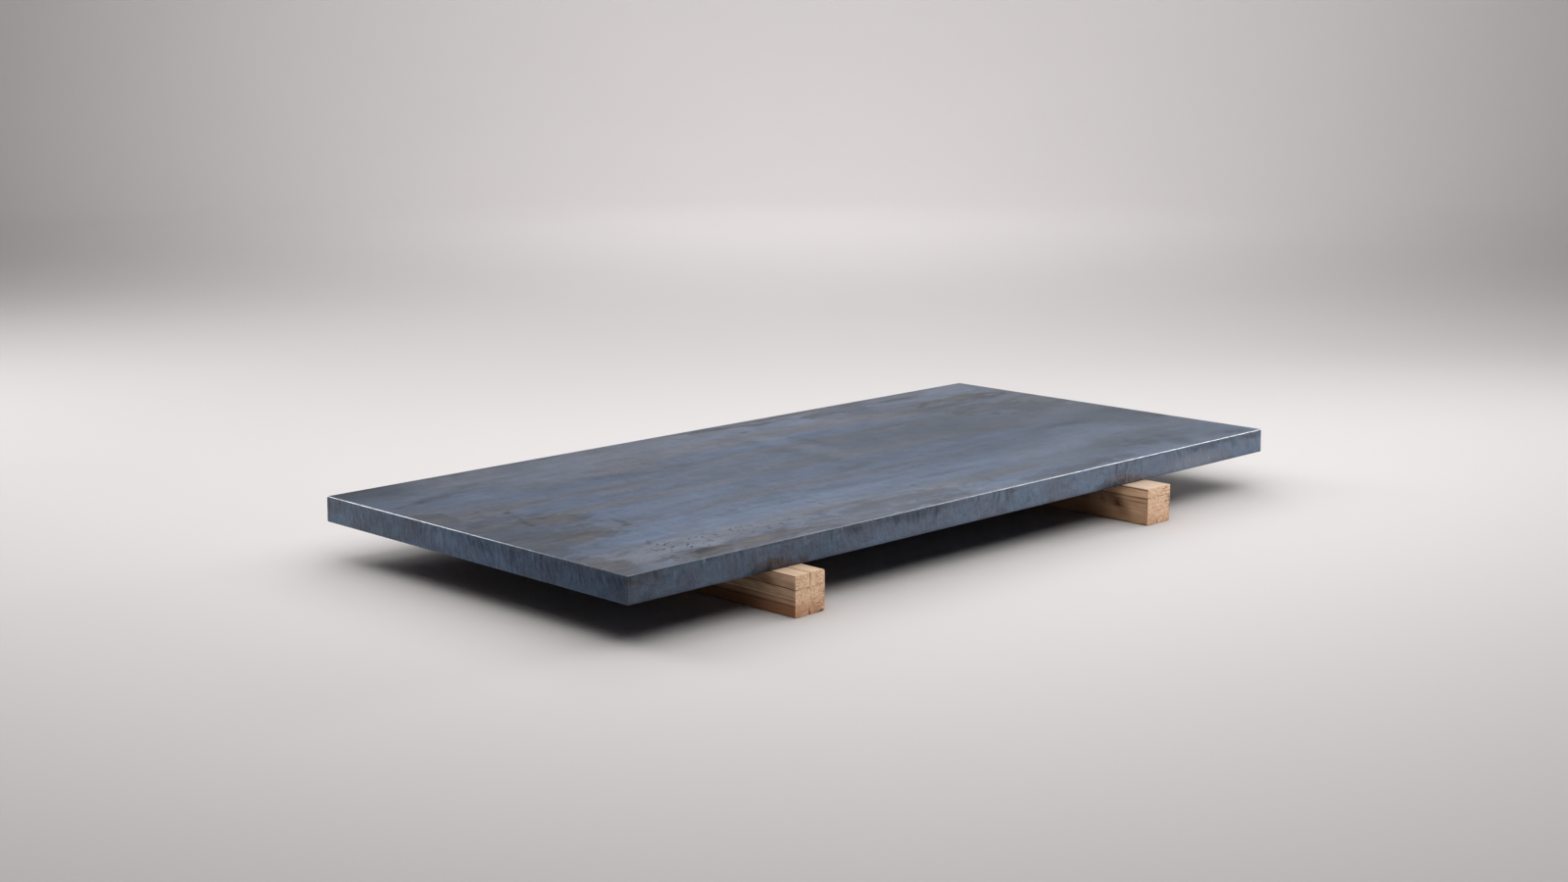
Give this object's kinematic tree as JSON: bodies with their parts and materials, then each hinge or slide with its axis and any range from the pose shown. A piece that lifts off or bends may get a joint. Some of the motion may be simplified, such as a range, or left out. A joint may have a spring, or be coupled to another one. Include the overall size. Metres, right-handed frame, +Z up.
{
  "type": "steel plate",
  "caption": "Thick hot-rolled steel plate, thermally cut to a rectangle, lying flat on sawn softwood bearers that hold it clear of the ground.",
  "frame": {"origin": "on the ground, under the middle of the plate in plan", "axes": "+X along the plate's rolled length, +Y across it, +Z up"},
  "size_m": [2.4, 1.314, 0.165],
  "materials": {
    "mill_scaled_steel": "dark blue-grey hot-rolled mill scale with soft rolling streaks, thin brown rust blotches and bare bright upper edges; cut sides carry fine upright drag lines",
    "left_softwood": "dry sawn softwood, pale tan with reddish late wood, drying checks in the end and one face",
    "right_softwood": "dry sawn softwood, pale tan, a knot in the face and a ring shake across the end"
  },
  "bodies": {
    "root": {"steel_plate": "mill_scaled_steel", "left_bearer": "left_softwood", "right_bearer": "right_softwood"}
  },
  "joints": []
}
